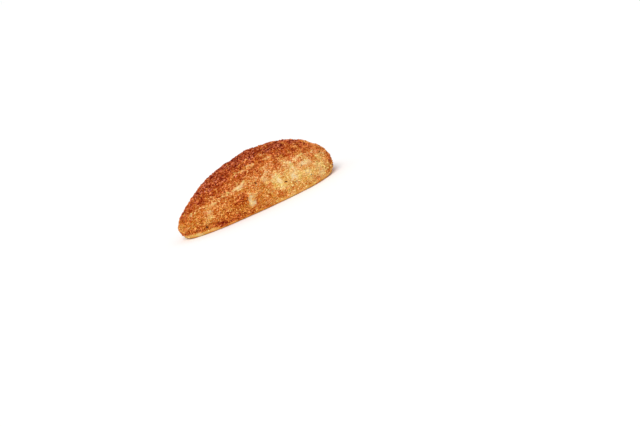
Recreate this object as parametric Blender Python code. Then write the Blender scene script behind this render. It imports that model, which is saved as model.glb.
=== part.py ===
"""A cheese pie: one egg-shaped filled bread, flat below, baked under a coat of crumbs.

Metres, +Z up. The base lies on z = 0 with the pie's middle over the origin. The broad end
points along +X and the narrow end along -X.
"""

import math
import random

import bmesh
import bpy
from mathutils import Euler, Vector, noise

NAME = "cheese_pie"

# The bread under its crumbs
LENGTH = 0.1494
MIDDLE_WIDTH = 0.0712
HEIGHT = 0.0453
WIDEST_HEIGHT = 0.0102
BROADENING = 0.28
SUMMIT_SHIFT = 0.0053
SUMMIT_ROUNDING = 0.08

# What the uneven ends and sides leave between the bread's middle and the middle of its box
OFF_MIDDLE = Vector((0.0007, 0.0001, 0.0))

# Exponents of the outline from above and of the sections: 2 is round, less is more pointed
PLAN_FULLNESS = 2.25
NARROW_FULLNESS = 1.5
BROAD_FULLNESS = 1.93
SIDE_FULLNESS = 1.85

# Below the widest line the side draws in towards the tray, whose plane cuts it off
TUCK = 0.15
CUT_DEPTH = 1.3

# Lumps of the dough and the finer crags of its crust
LUMP_SPACING = 0.020
LUMP_HEIGHT = 0.0014
LUMP_SEED = Vector((7.1, 6.2, 9.5))
CRAG_SPACING = 0.0085
CRAG_HEIGHT = 0.0007
CRAG_SEED = Vector((9.3, 9.4, 3.4))

# The largest crumbs, as half sizes, and where they lie
CRUMB_SEED = 11
CRUMB_TRIES = 3000
CRUMB_GAP = 0.0063
CRUMB_SMALL = 0.0009
CRUMB_LARGE = 0.0017
CRUMB_LINE = 0.012
CRUMB_SUNK = 0.2
CRUMB_JITTER = 0.2
CRUMB_TILT = 0.4

# Ranges of a crumb's length, width and height, each as a share of its size
CRUMB_LENGTHS = (0.9, 1.3)
CRUMB_WIDTHS = (0.7, 1.0)
CRUMB_HEIGHTS = (0.55, 0.9)

# Subdivisions of the spheres that the bread and the crumbs start from
BODY_DETAIL = 5
CRUMB_DETAIL = 1

NORMAL_STEP = 0.01
SMALLEST_EDGE = 1e-6
SHARP_ANGLE = math.radians(45)

# Finishes: name, colour and roughness, in the order of the mesh's material slots
FINISHES = (
    ("baked_crust", (0.56, 0.25, 0.08, 1.0), 0.75),
    ("toasted_crumb", (0.40, 0.13, 0.035, 1.0), 0.8),
    ("pale_base", (0.78, 0.55, 0.28, 1.0), 0.7),
)
CRUST_SLOT, CRUMB_SLOT, BASE_SLOT = range(3)
BASE_NORMAL_Z = -0.9


def clear_scene():
    """Remove every object that the scene starts with."""
    for obj in list(bpy.data.objects):
        bpy.data.objects.remove(obj, do_unlink=True)


def section_fullness(bearing):
    """Exponent of the upright section at this bearing: its own at each end and at the sides."""
    end = BROAD_FULLNESS if math.cos(bearing) > 0 else NARROW_FULLNESS
    return SIDE_FULLNESS + (end - SIDE_FULLNESS) * math.cos(bearing) ** 2


def rounded(run):
    """Flatten the meeting of the sections at the summit, keeping 0 at 0 and 1 at 1."""
    soft = SUMMIT_ROUNDING
    return (math.hypot(run, soft) - soft) / (math.hypot(1.0, soft) - soft)


def form_point(direction):
    """Point of the smooth bread that lies in this direction from the middle of its widest line."""
    bearing = math.atan2(direction.y, direction.x)
    rise = direction.z
    run = math.sqrt(max(0.0, 1.0 - rise * rise))
    plan = (abs(math.cos(bearing)) ** PLAN_FULLNESS + abs(math.sin(bearing)) ** PLAN_FULLNESS) ** (
        -1.0 / PLAN_FULLNESS
    )
    lift = 0.0
    if rise > 0.0:
        run = rounded(run)
        fullness = section_fullness(bearing)
        reach = (run**fullness + rise**fullness) ** (-1.0 / fullness)
        out = reach * run
        lift = reach * rise
        height = WIDEST_HEIGHT + (HEIGHT - WIDEST_HEIGHT) * lift
    else:
        out = 1.0 - TUCK * (1.0 - run)
        height = WIDEST_HEIGHT * (1.0 + CUT_DEPTH * rise)
    along = out * plan * math.cos(bearing)
    across = out * plan * math.sin(bearing)
    return Vector(
        (
            0.5 * LENGTH * along + SUMMIT_SHIFT * lift * lift,
            0.5 * MIDDLE_WIDTH * across * (1.0 + BROADENING * along),
            height,
        )
    )


def form_normal(direction):
    """Outward normal of the smooth bread, from four points close by."""
    first = direction.orthogonal().normalized() * NORMAL_STEP
    second = direction.cross(first)
    ahead = form_point((direction + first).normalized()) - form_point((direction - first).normalized())
    aside = form_point((direction + second).normalized()) - form_point((direction - second).normalized())
    return ahead.cross(aside).normalized()


def relief(point):
    """How far the uneven crust stands out of the smooth bread at this point."""
    lumps = noise.noise(point / LUMP_SPACING + LUMP_SEED) * LUMP_HEIGHT
    crags = noise.noise(point / CRAG_SPACING + CRAG_SEED) * CRAG_HEIGHT
    return lumps + crags


def crust_point(direction):
    """Point of the uneven crust in this direction, and the bread's normal there."""
    point = form_point(direction)
    normal = form_normal(direction)
    return point + normal * relief(point) - OFF_MIDDLE, normal


def object_from(bm, name, collection):
    """Turn a bmesh into a linked object."""
    mesh = bpy.data.meshes.new(name)
    bm.to_mesh(mesh)
    bm.free()
    obj = bpy.data.objects.new(name, mesh)
    collection.objects.link(obj)
    return obj


def make_bread(collection):
    """The uneven bread, from a sphere, cut off by the plane of the tray."""
    bm = bmesh.new()
    bmesh.ops.create_icosphere(bm, subdivisions=BODY_DETAIL, radius=1.0)
    for vert in bm.verts:
        vert.co = crust_point(vert.co.normalized())[0]
    cut = bmesh.ops.bisect_plane(
        bm,
        geom=bm.verts[:] + bm.edges[:] + bm.faces[:],
        dist=SMALLEST_EDGE,
        plane_co=(0.0, 0.0, 0.0),
        plane_no=(0.0, 0.0, -1.0),
        clear_outer=True,
    )
    foot = [item for item in cut["geom_cut"] if isinstance(item, bmesh.types.BMEdge)]
    bmesh.ops.contextual_create(bm, geom=foot)
    bmesh.ops.dissolve_degenerate(bm, dist=SMALLEST_EDGE, edges=bm.edges[:])
    bmesh.ops.recalc_face_normals(bm, faces=bm.faces[:])
    for face in bm.faces:
        face.material_index = BASE_SLOT if face.normal.z < BASE_NORMAL_Z else CRUST_SLOT
    return object_from(bm, NAME, collection)


def crumb_spots(rng):
    """Spots on the crust, no two closer than the gap, as a list of points with their normals."""
    spots = []
    for _ in range(CRUMB_TRIES):
        direction = Vector((rng.gauss(0, 1), rng.gauss(0, 1), rng.gauss(0, 1))).normalized()
        point, normal = crust_point(direction)
        if point.z < CRUMB_LINE:
            continue
        if all((point - other).length > CRUMB_GAP for other, _ in spots):
            spots.append((point, normal))
    return spots


def make_crumb(rng, index, point, normal, collection):
    """One angular crumb that lies flat on the crust at this point, partly sunk in it."""
    size = CRUMB_SMALL + (CRUMB_LARGE - CRUMB_SMALL) * rng.random() ** 2
    shape = Vector([rng.uniform(*span) for span in (CRUMB_LENGTHS, CRUMB_WIDTHS, CRUMB_HEIGHTS)])
    tilt = Euler((rng.gauss(0, CRUMB_TILT), rng.gauss(0, CRUMB_TILT), rng.uniform(0.0, math.tau)))
    turn = normal.to_track_quat("Z", "Y").to_matrix() @ tilt.to_matrix()
    centre = point - normal * size * CRUMB_SUNK
    bm = bmesh.new()
    bmesh.ops.create_icosphere(bm, subdivisions=CRUMB_DETAIL, radius=size)
    for vert in bm.verts:
        reach = 1.0 + rng.uniform(-CRUMB_JITTER, CRUMB_JITTER)
        vert.co = turn @ (vert.co * shape * reach) + centre
    for face in bm.faces:
        face.material_index = CRUMB_SLOT
    return object_from(bm, f"crumb_{index}", collection)


def fuse(body, collection):
    """Join the collection's objects to the body in one union, then remove them."""
    union = body.modifiers.new("fused_crumbs", "BOOLEAN")
    union.operation = "UNION"
    union.operand_type = "COLLECTION"
    union.collection = collection
    union.solver = "EXACT"
    depsgraph = bpy.context.evaluated_depsgraph_get()
    joined = bpy.data.meshes.new_from_object(body.evaluated_get(depsgraph))
    body.modifiers.remove(union)
    body.data = joined
    joined.name = body.name
    for obj in list(collection.objects):
        bpy.data.objects.remove(obj, do_unlink=True)
    bpy.data.collections.remove(collection)


def keep_largest(mesh):
    """Drop scraps that the union left loose, and split what is left into triangles."""
    bm = bmesh.new()
    bm.from_mesh(mesh)
    bmesh.ops.dissolve_degenerate(bm, dist=SMALLEST_EDGE, edges=bm.edges[:])
    unseen = set(bm.verts)
    groups = []
    while unseen:
        group = set()
        front = [unseen.pop()]
        while front:
            vert = front.pop()
            group.add(vert)
            near = {edge.other_vert(vert) for edge in vert.link_edges} & unseen
            unseen -= near
            front.extend(near)
        groups.append(group)
    largest = max(groups, key=len)
    loose = [vert for vert in bm.verts if vert not in largest]
    bmesh.ops.delete(bm, geom=loose, context="VERTS")
    bmesh.ops.triangulate(bm, faces=bm.faces[:])
    bm.to_mesh(mesh)
    bm.free()


def finish(body):
    """Give the pie its finishes and smooth shading."""
    for name, colour, roughness in FINISHES:
        material = bpy.data.materials.new(name)
        material.use_nodes = True
        shader = material.node_tree.nodes["Principled BSDF"]
        shader.inputs["Base Color"].default_value = colour
        shader.inputs["Roughness"].default_value = roughness
        shader.inputs["Metallic"].default_value = 0.0
        material.diffuse_color = colour
        body.data.materials.append(material)
    body.data.shade_smooth()
    body.data.set_sharp_from_angle(angle=SHARP_ANGLE)


def main():
    """Build the pie: the bread, its crumbs, their union and the finishes."""
    clear_scene()
    scene_collection = bpy.context.scene.collection
    parts = bpy.data.collections.new(NAME)
    crumbs = bpy.data.collections.new("crumbs")
    scene_collection.children.link(parts)
    scene_collection.children.link(crumbs)
    rng = random.Random(CRUMB_SEED)
    pie = make_bread(parts)
    spots = crumb_spots(rng)
    for index, (point, normal) in enumerate(spots):
        make_crumb(rng, index, point, normal, crumbs)
    fuse(pie, crumbs)
    keep_largest(pie.data)
    finish(pie)
    low = [min(vert.co[axis] for vert in pie.data.vertices) for axis in range(3)]
    high = [max(vert.co[axis] for vert in pie.data.vertices) for axis in range(3)]
    print(f"{NAME}: {len(pie.data.polygons)} triangles, {len(spots)} crumbs, from {low} to {high}")


main()
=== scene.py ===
"""Looks of the cheese pie: an egg-shaped filled bread under a coat of toasted crumbs.

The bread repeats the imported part's form with a finer crust. Over it lie the crumbs: the coarse
ones where the part has them, then toasted, golden, pale, fine and charred grains, one piece for
each kind. Metres, +Z up, in the part's own frame.
"""

from __future__ import annotations

import logging
import math
import random
from dataclasses import dataclass, fields
from enum import Enum
from itertools import product

import bmesh
import bpy
import numpy as np
from bpy.types import Material, Mesh, NodeTree, Object
from mathutils import Euler, Matrix, Vector, noise

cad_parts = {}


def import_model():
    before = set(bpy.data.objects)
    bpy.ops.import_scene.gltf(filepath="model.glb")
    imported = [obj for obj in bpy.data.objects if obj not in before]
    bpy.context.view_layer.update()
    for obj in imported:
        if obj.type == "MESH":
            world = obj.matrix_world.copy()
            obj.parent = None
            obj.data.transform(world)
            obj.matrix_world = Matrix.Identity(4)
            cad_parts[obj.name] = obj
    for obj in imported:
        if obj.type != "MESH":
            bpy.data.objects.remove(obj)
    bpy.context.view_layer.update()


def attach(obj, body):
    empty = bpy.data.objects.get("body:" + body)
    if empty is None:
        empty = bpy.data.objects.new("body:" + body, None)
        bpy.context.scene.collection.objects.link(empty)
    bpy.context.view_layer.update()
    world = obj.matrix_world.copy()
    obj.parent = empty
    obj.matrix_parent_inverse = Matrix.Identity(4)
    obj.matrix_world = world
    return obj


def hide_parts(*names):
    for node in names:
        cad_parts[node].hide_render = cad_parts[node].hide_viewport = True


log = logging.getLogger("cheese_pie")

Place = tuple[float, float, float]
Span = tuple[float, float]
Colour = tuple[float, float, float, float]
Array = np.ndarray
Socket = bpy.types.NodeSocket

NODE = "cheese_pie"
BODY = "root"
TOAST = "toast"
BAKE_MAP = "OFBake"
MM = 0.001
METRE_DECIMALS = 8
TINY = 1e-9

# Side of the cube that the crust starts from, and how far out a vertex lies on its faces at least
CUBE_SIDE = 2.0
CUBE_EDGE = 0.999

# Corners of a crumb's faces within its cell of the map
CELL_CORNERS = ((0.12, 0.12), (0.88, 0.12), (0.5, 0.88))

# Where a mix node has the sockets for colours: its share and its two colours, and what comes out
MIX_INPUTS = (0, 6, 7)
MIX_OUTPUT = 2


def ramp(values: Array, start: float, end: float) -> Array:
    """Rise smoothly from 0 at start to 1 at end.

    Args:
        values: the numbers to place on the ramp.
        start: where the result is 0; it may lie above end.
        end: where the result is 1.

    Returns:
        One number from 0 to 1 for each value.
    """
    share = np.clip((values - start) / (end - start), 0.0, 1.0)
    return share * share * (3.0 - 2.0 * share)


def unit(vectors: Array) -> Array:
    """Return the vectors, one a row, at length 1."""
    return vectors / np.maximum(np.linalg.norm(vectors, axis=1, keepdims=True), TINY)


def from_mm(*values: float) -> tuple[float, ...]:
    """Return millimetres in metres, rounded so that a short decimal stays one."""
    return tuple(round(value * MM, METRE_DECIMALS) for value in values)


def towards(azimuth: float, elevation: float) -> Vector:
    """Return the direction to an eye or a light that stands at these angles."""
    flat = math.cos(elevation)
    return Vector((math.sin(azimuth) * flat, -math.cos(azimuth) * flat, math.sin(elevation)))


def linked(name: str, data: bpy.types.ID) -> Object:
    """Make an object and link it to the scene.

    Args:
        name: its name.
        data: its mesh, camera or light.

    Returns:
        The object.
    """
    made = bpy.data.objects.new(name, data)
    bpy.context.scene.collection.objects.link(made)
    return made


@dataclass(frozen=True)
class Ripple:
    """Smooth noise: its strength, the size of its cells in metres and what sets it off from others."""

    strength: float
    spacing: float | Place
    seed: float | Place

    def at(self, points: Array) -> Array:
        """Return a number from about -strength to strength for each point, one a row."""
        rows = (points / self.spacing + self.seed).tolist()
        return self.strength * np.array([noise.noise(row) for row in rows])


@dataclass(frozen=True)
class BreadForm:
    """The bread under its crumbs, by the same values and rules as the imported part."""

    length: float = 0.1494
    middle_width: float = 0.0712
    height: float = 0.0453
    widest_height: float = 0.0102
    broadening: float = 0.28
    summit_shift: float = 0.0053
    summit_rounding: float = 0.08
    off_middle: Place = (0.0007, 0.0001, 0.0)
    plan_fullness: float = 2.25
    narrow_fullness: float = 1.5
    broad_fullness: float = 1.93
    side_fullness: float = 1.85
    tuck: float = 0.15
    cut_depth: float = 1.3
    lumps: Ripple = Ripple(0.0014, 0.020, (7.1, 6.2, 9.5))
    crags: Ripple = Ripple(0.0007, 0.0085, (9.3, 9.4, 3.4))
    normal_step: float = 0.01

    def section_fullness(self, bearing: Array) -> Array:
        """Return the exponent of the upright section at each bearing."""
        end = np.where(np.cos(bearing) > 0, self.broad_fullness, self.narrow_fullness)
        return self.side_fullness + (end - self.side_fullness) * np.cos(bearing) ** 2

    def rounded(self, run: Array) -> Array:
        """Flatten the meeting of the sections at the summit, keeping 0 at 0 and 1 at 1."""
        soft = self.summit_rounding
        return (np.hypot(run, soft) - soft) / (math.hypot(1.0, soft) - soft)

    def points(self, directions: Array) -> Array:
        """Points of the smooth bread.

        Args:
            directions: unit vectors from the middle of the widest line, one a row.

        Returns:
            The point in each direction.
        """
        bearing = np.arctan2(directions[:, 1], directions[:, 0])
        rise = directions[:, 2]
        run = np.sqrt(np.clip(1.0 - rise * rise, 0.0, None))
        full = self.plan_fullness
        plan = (np.abs(np.cos(bearing)) ** full + np.abs(np.sin(bearing)) ** full) ** (-1.0 / full)
        above = rise > 0.0
        up = np.clip(rise, 0.0, None)
        soft = np.maximum(self.rounded(run), TINY)
        fullness = self.section_fullness(bearing)
        reach = (soft**fullness + up**fullness) ** (-1.0 / fullness)
        lift = np.where(above, reach * up, 0.0)
        out = np.where(above, reach * soft, 1.0 - self.tuck * (1.0 - run))
        height = np.where(
            above,
            self.widest_height + (self.height - self.widest_height) * lift,
            self.widest_height * (1.0 + self.cut_depth * rise),
        )
        along = out * plan * np.cos(bearing)
        across = out * plan * np.sin(bearing)
        return np.stack(
            (
                0.5 * self.length * along + self.summit_shift * lift * lift,
                0.5 * self.middle_width * across * (1.0 + self.broadening * along),
                height,
            ),
            axis=1,
        )

    def normals(self, directions: Array) -> Array:
        """Outward normals of the smooth bread, each from four points close by.

        Args:
            directions: unit vectors from the middle of the widest line, one a row.

        Returns:
            The normal in each direction.
        """
        helper = np.eye(3)[np.argmin(np.abs(directions), axis=1)]
        first = unit(np.cross(directions, helper)) * self.normal_step
        second = np.cross(directions, first)
        ahead = self.points(unit(directions + first)) - self.points(unit(directions - first))
        aside = self.points(unit(directions + second)) - self.points(unit(directions - second))
        return unit(np.cross(ahead, aside))

    def crust(self, directions: Array) -> tuple[Array, Array, Array]:
        """The uneven crust.

        Args:
            directions: unit vectors from the middle of the widest line, one a row.

        Returns:
            The crust's points, the smooth bread's points and its normals there.
        """
        smooth = self.points(directions)
        normals = self.normals(directions)
        relief = self.lumps.at(smooth) + self.crags.at(smooth)
        return smooth + normals * relief[:, None] - np.array(self.off_middle), smooth, normals

    def foot_rise(self) -> float:
        """Return the rise at which the side meets the plane of the tray."""
        return -1.0 / self.cut_depth


@dataclass(frozen=True)
class BakedPlace:
    """A place that baked otherwise than the crust round it, and how strongly."""

    centre: Place
    half_length: float
    half_height: float
    strength: float


@dataclass(frozen=True)
class PaleStreak:
    """A thin raised line of paler crust, from point to point."""

    half_width: float
    paleness: float
    path: tuple[Place, ...]


def baked_places(*rows: tuple[float, ...]) -> tuple[BakedPlace, ...]:
    """Make baked places from rows of numbers.

    Args:
        rows: each has the middle, half length and half height in millimetres, then the strength.

    Returns:
        The places, in metres.
    """
    return tuple(BakedPlace(from_mm(*row[:3]), *from_mm(*row[3:5]), row[5]) for row in rows)


def streak(half_width: float, paleness: float, *path: Place) -> PaleStreak:
    """Return a pale streak whose half width and points are given in millimetres."""
    return PaleStreak(*from_mm(half_width), paleness, tuple(from_mm(*point) for point in path))


@dataclass(frozen=True)
class Baking:
    """How brown, how bare and how wrinkled the crust is at each place; the browning also holds some
    painted shade low along the foot and at the broad end.
    """

    top_browning: float = 0.86
    top_run: Span = (0.40, 1.02)
    crown_extra: float = 0.095
    crown_run: Span = (0.83, 0.98)
    low_browning: float = 0.28
    narrow_extra: float = 0.22
    narrow_run: Span = (0.010, -0.016)
    broad_shift: float = 0.05
    broad_run: Span = (-0.008, 0.018)
    # Browner towards the broad end: partly browning, partly painted shade where the end turns away from
    # the light
    end_browning_and_shade: float = 0.36
    end_run: Span = (0.050, 0.073)
    # Browner low on the narrow side: partly browning, partly painted shade near the floor
    foot_browning_and_shade: float = 0.20
    foot_run: Span = (0.010, 0.0045)
    foot_reach: Span = (-0.014, -0.036)
    # Browner along the bottom edge: partly browning where it lay on the tray, partly painted shade at the
    # floor
    sole_browning_and_shade: float = 0.08
    sole_run: Span = (0.0024, 0.0006)
    rim_paler: float = 0.54
    rim_least: float = 0.20
    rim_reach: Span = (0.004, -0.052)
    facing_drift: Ripple = Ripple(0.09, 0.017, 3.1)
    drift: Ripple = Ripple(0.09, 0.017, 41.7)
    blotch: float = 0.10
    blotch_on_top: float = 0.12
    blotch_broad: float = 0.17
    blotches: Ripple = Ripple(1.0, 0.0064, 12.9)
    clumps: Ripple = Ripple(0.085, 0.0023, 33.4)
    patch_edge: Span = (1.35, 0.3)
    patch_wander: Ripple = Ripple(0.6, 0.0026, 5.3)
    halo_size: float = 1.7
    halo_paler: float = 0.10
    streak_edge: Span = (1.4, 0.5)
    streak_wander: Ripple = Ripple(0.6, 0.0026, 50.2)
    streak_paler: float = 0.57
    wrinkle_lines: Ripple = Ripple(1.0, (0.013, 0.0038, 0.0038), 21.3)
    wrinkle_width: float = 0.09
    wrinkle_breaks: Ripple = Ripple(1.0, 0.0102, 66.0)
    unbroken_run: Span = (-0.05, 0.3)
    wrinkle_facing: Span = (0.25, 0.5)
    wrinkle_paler: float = 0.34
    ridge_lines: Ripple = Ripple(1.0, (0.0032, 0.0022, 0.0022), 77.1)
    ridge_width: float = 0.24
    ridge_paler: float = 0.16
    smooth_line: float = 0.0015
    smooth_wander: Ripple = Ripple(0.0016, 0.009, 8.8)
    smooth_ragged: Ripple = Ripple(0.0009, 0.0024, 14.4)
    smooth_extra: float = 0.0022
    smooth_narrow: Span = (-0.036, -0.064)
    smooth_broad: float = 0.0015
    smooth_fade: float = 0.0008

    # Each streak's half width, paleness and points
    streaks: tuple[PaleStreak, ...] = (
        streak(0.8, 0.45, (-54.3, -19.0, 19.3), (-48.0, -20.3, 21.8), (-38.5, -23.2, 23.9),
               (-30.9, -26.0, 24.6)),
        streak(1.0, 1.0, (-29.2, -26.5, 25.1), (-21.3, -27.7, 26.5), (-16.8, -26.9, 28.5)),
        streak(0.9, 0.85, (-23.4, -19.6, 34.1), (-17.8, -19.2, 35.9), (-14.3, -20.6, 35.5),
               (-11.6, -21.6, 35.3), (-8.8, -22.1, 35.4)),
        streak(0.7, 0.6, (-19.6, -31.6, 18.7), (-13.6, -33.1, 16.1)),
        streak(1.1, 1.0, (-6.3, -19.6, 37.4), (-0.5, -20.7, 36.7)),
        streak(0.9, 0.75, (-12.7, -15.1, 39.0), (-7.5, -14.8, 40.5), (-2.0, -14.2, 41.0)),
        streak(0.8, 0.35, (-48.1, -15.2, 26.2), (-43.8, -17.8, 26.3), (-37.6, -22.2, 26.2),
               (-34.5, -24.6, 25.3)),
        streak(0.8, 0.6, (-57.4, -14.8, 22.0), (-54.3, -15.8, 22.7), (-51.9, -18.3, 21.7)),
        streak(1.1, 1.0, (30.6, -30.7, 26.7), (40.1, -28.8, 27.9)),
        streak(0.9, 0.8, (21.1, -29.7, 29.0), (27.5, -31.9, 25.2)),
        streak(0.6, 0.5, (-14.7, -25.3, 30.8), (-11.6, -25.5, 31.6), (-9.0, -23.0, 34.5)),
        streak(0.8, 0.6, (7.5, -21.5, 36.8), (14.7, -23.5, 36.5)),
        streak(0.8, 0.6, (-59.8, -19.2, 9.5), (-53.6, -22.6, 12.0)),
        streak(0.9, 0.8, (-2.5, -31.1, 24.9), (3.5, -29.8, 27.7)),
        streak(1.0, 1.0, (-30.0, 26.2, 25.0), (-18.0, 28.5, 26.5), (-9.0, 28.0, 29.0)),
        streak(1.0, 0.8, (8.0, 20.5, 37.5), (20.0, 21.5, 38.0)),
        streak(1.1, 0.9, (32.0, 31.0, 25.5), (44.0, 29.0, 24.5)),
        streak(0.9, 0.8, (-42.0, 18.0, 27.0), (-33.0, 18.5, 30.0)),
        streak(0.9, 0.6, (5.0, 6.0, 45.5), (17.0, 4.0, 45.8)),
        streak(0.9, 0.6, (-25.0, -4.0, 40.5), (-15.0, -2.0, 43.0)),
        streak(1.0, 0.7, (35.0, 8.0, 42.0), (45.0, 11.0, 38.5)),
    )

    # Patches where few crumbs stuck and the pale dough shows
    patches: tuple[BakedPlace, ...] = baked_places(
        (9.6, -34.6, 17.0, 3.0, 4.4, 1.00),
        (7.4, -33.8, 20.2, 3.4, 2.2, 0.60),
        (10.0, -35.7, 11.8, 2.6, 2.2, 0.65),
        (23.0, -36.4, 15.0, 3.8, 4.8, 1.00),
        (25.7, -34.0, 21.3, 3.2, 3.0, 0.95),
        (36.4, -36.1, 13.8, 4.4, 2.4, 0.75),
        (-18.3, -32.2, 11.4, 3.4, 5.4, 0.92),
        (38.0, -33.3, 21.2, 6.2, 2.2, 0.85),
        (49.5, -32.2, 12.5, 4.6, 3.4, 0.45),
        (51.0, -31.5, 6.0, 7.0, 3.0, 0.60),
        (-24.0, -28.3, 26.2, 6.2, 1.9, 0.78),
        (-53.0, -21.1, 17.3, 3.4, 2.0, 0.60),
        (-54.6, -21.9, 13.1, 4.4, 1.4, 0.50),
        (-47.3, -20.8, 21.5, 2.6, 1.4, 0.50),
        (-65.5, -13.0, 2.0, 10.0, 2.0, 0.60),
        (-65.5, -10.5, 19.5, 3.2, 1.7, 0.70),
        (-1.0, -32.0, 22.0, 2.8, 2.6, 0.45),
        (18.0, 35.0, 16.0, 5.0, 3.6, 0.90),
        (-6.0, 33.5, 12.0, 3.4, 5.2, 0.80),
        (43.0, 32.5, 19.0, 4.4, 3.0, 0.85),
        (-33.0, 25.5, 23.0, 5.2, 2.0, 0.75),
        (-48.0, 21.5, 10.0, 3.6, 3.0, 0.60),
        (31.0, 30.0, 29.0, 3.0, 2.2, 0.60),
        (66.0, 12.0, 14.0, 3.0, 3.0, 0.50),
    )

    # Spots that browned more than the crust round them, or less where the strength is below 0; two low
    # ones also hold painted shade
    spots: tuple[BakedPlace, ...] = baked_places(
        (12.7, -29.8, 28.3, 7.0, 3.0, 0.24),
        (42.8, -27.6, 28.5, 2.4, 2.4, 0.26),
        (32.0, -27.0, 30.8, 5.0, 2.8, 0.16),
        (36.5, -18.0, 36.5, 10.0, 7.5, 0.13),
        (51.0, -18.0, 31.5, 7.5, 6.4, 0.17),
        (8.5, -20.0, 37.8, 6.0, 3.4, 0.14),
        (45.8, -32.9, 18.6, 3.2, 2.4, 0.14),
        (34.0, -35.2, 17.3, 3.2, 2.0, 0.16),
        (-25.5, -30.3, 15.8, 6.8, 4.8, 0.17),
        # Partly browning, partly painted shade just above the foot
        (-46.5, -23.8, 3.2, 9.5, 2.8, 0.20),
        (-42.1, -25.8, 10.5, 3.0, 3.2, 0.08),
        (-67.1, -11.5, 15.8, 3.2, 2.2, 0.18),
        # Partly browning, partly painted shade just above the foot
        (-19.0, -31.6, 3.2, 6.0, 2.2, 0.10),
        (28.0, -35.0, 3.4, 12.0, 2.4, 0.11),
        (64.0, -23.5, 15.5, 6.0, 6.0, 0.24),
        (20.0, -34.5, 16.5, 20.0, 8.5, -0.08),
        (4.5, -34.8, 6.8, 10.0, 4.2, 0.24),
        (-22.6, -31.2, 8.0, 6.6, 2.6, -0.13),
        (-37.0, -27.5, 7.5, 6.6, 3.0, -0.07),
        (52.3, -30.8, 7.5, 7.0, 3.0, -0.09),
        (37.0, -35.0, 15.0, 12.0, 12.0, -0.11),
        (64.0, -22.0, 6.0, 10.0, 5.0, -0.23),
        (-10.0, -18.8, 37.2, 6.4, 3.6, -0.16),
        (-10.0, -28.3, 26.5, 6.6, 9.0, -0.02),
        (22.0, -26.2, 32.2, 7.0, 2.8, 0.07),
        (-7.0, -33.0, 17.6, 7.0, 2.8, -0.06),
        (-7.0, -34.5, 7.6, 6.4, 2.6, -0.04),
        (25.0, 30.0, 29.0, 6.0, 3.0, 0.20),
        (-28.0, 29.0, 15.0, 7.0, 4.5, 0.12),
        (5.0, 35.0, 8.0, 7.0, 3.5, 0.15),
        (50.0, 28.0, 22.0, 4.2, 3.0, 0.20),
        (33.0, 33.0, 13.0, 10.0, 8.0, -0.08),
    )

    def browning(self, points: Array, normals: Array) -> Array:
        """How far the crust has browned, before the crumbs' own differences, with some painted shade low
        along the foot and at the broad end.

        Args:
            points: places on the crust, one a row.
            normals: the smooth bread's normals there.

        Returns:
            0 for pale dough to 1 for dark brown, one for each place.
        """
        along = points[:, 0]
        height = points[:, 2]
        narrow = ramp(along, *self.narrow_run)
        low = self.low_browning + self.narrow_extra * narrow
        # Low on the narrow side the crust is painted browner: partly browning, partly painted shade near
        # the floor
        low = low + self.foot_browning_and_shade * ramp(along, *self.foot_reach) * ramp(height, *self.foot_run)
        # Along the bottom edge the crust is painted browner: partly tray browning, partly painted shade at
        # the floor
        low = low + self.sole_browning_and_shade * ramp(height, *self.sole_run)
        # The broad end is painted darker: partly browning, partly painted shade where it turns from the
        # light
        low = low + self.end_browning_and_shade * ramp(along, *self.end_run)
        rim = self.rim_least + (1.0 - self.rim_least) * ramp(along, *self.rim_reach)
        low = low - self.rim_paler * rim * self.smoothness(points)
        facing = normals[:, 2] - self.broad_shift * ramp(along, *self.broad_run)
        top = ramp(facing + self.facing_drift.at(points), *self.top_run)
        level = low + (self.top_browning - low) * top
        level = level + self.crown_extra * ramp(normals[:, 2], *self.crown_run)
        level = level + self.drift.at(points)
        blotch = self.blotch + self.blotch_on_top * top + self.blotch_broad * (1.0 - narrow)
        level = level + blotch * self.blotches.at(points)
        level = level + self.clumps.at(points)
        for spot in self.spots:
            level = level + spot.strength * self.spread(points, spot)
        for patch in self.patches:
            level = level - self.halo_paler * patch.strength * self.spread(points, patch, self.halo_size)
        level = level - self.streak_paler * self.streaked(points)
        level = level - self.wrinkle_paler * self.wrinkles(points, normals)
        level = level - self.ridge_paler * (self.ridges(points) - 0.5)
        return np.clip(level, 0.0, 1.0)

    def spread(self, points: Array, place: BakedPlace, size: float = 1.0) -> Array:
        """How far each point lies in a place with a ragged edge.

        Args:
            points: places on the crust, one a row.
            place: the baked place.
            size: how many times its own size it takes.

        Returns:
            From 0, outside, to 1, in the middle, one for each point.
        """
        apart = points - np.array(place.centre)
        along = apart[:, 0] / (size * place.half_length)
        up = np.hypot(apart[:, 1], apart[:, 2]) / (size * place.half_height)
        reach = np.hypot(along, up)
        near = reach < self.patch_edge[0] + self.patch_wander.strength
        share = np.zeros(len(points))
        share[near] = ramp(reach[near] + self.patch_wander.at(points[near]), *self.patch_edge)
        return share

    def bareness(self, points: Array) -> Array:
        """Return from 0 to 1 how far the pale dough shows at each point."""
        shares = [patch.strength * self.spread(points, patch) for patch in self.patches]
        return np.max(shares, axis=0)

    def streaked(self, points: Array) -> Array:
        """How far each point lies on a pale streak.

        Args:
            points: places on the crust, one a row.

        Returns:
            From 0, off it, to 1, one for each point.
        """
        wander = self.streak_wander.at(points)
        found = np.zeros(len(points))
        for line in self.streaks:
            for start, end in zip(line.path[:-1], line.path[1:]):
                base = np.array(start)
                run = np.array(end) - base
                share = np.clip((points - base) @ run / (run @ run), 0.0, 1.0)
                apart = np.linalg.norm(points - base - share[:, None] * run, axis=1)
                near = ramp(apart / line.half_width + wander, *self.streak_edge)
                found = np.maximum(found, line.paleness * near)
        return found

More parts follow.
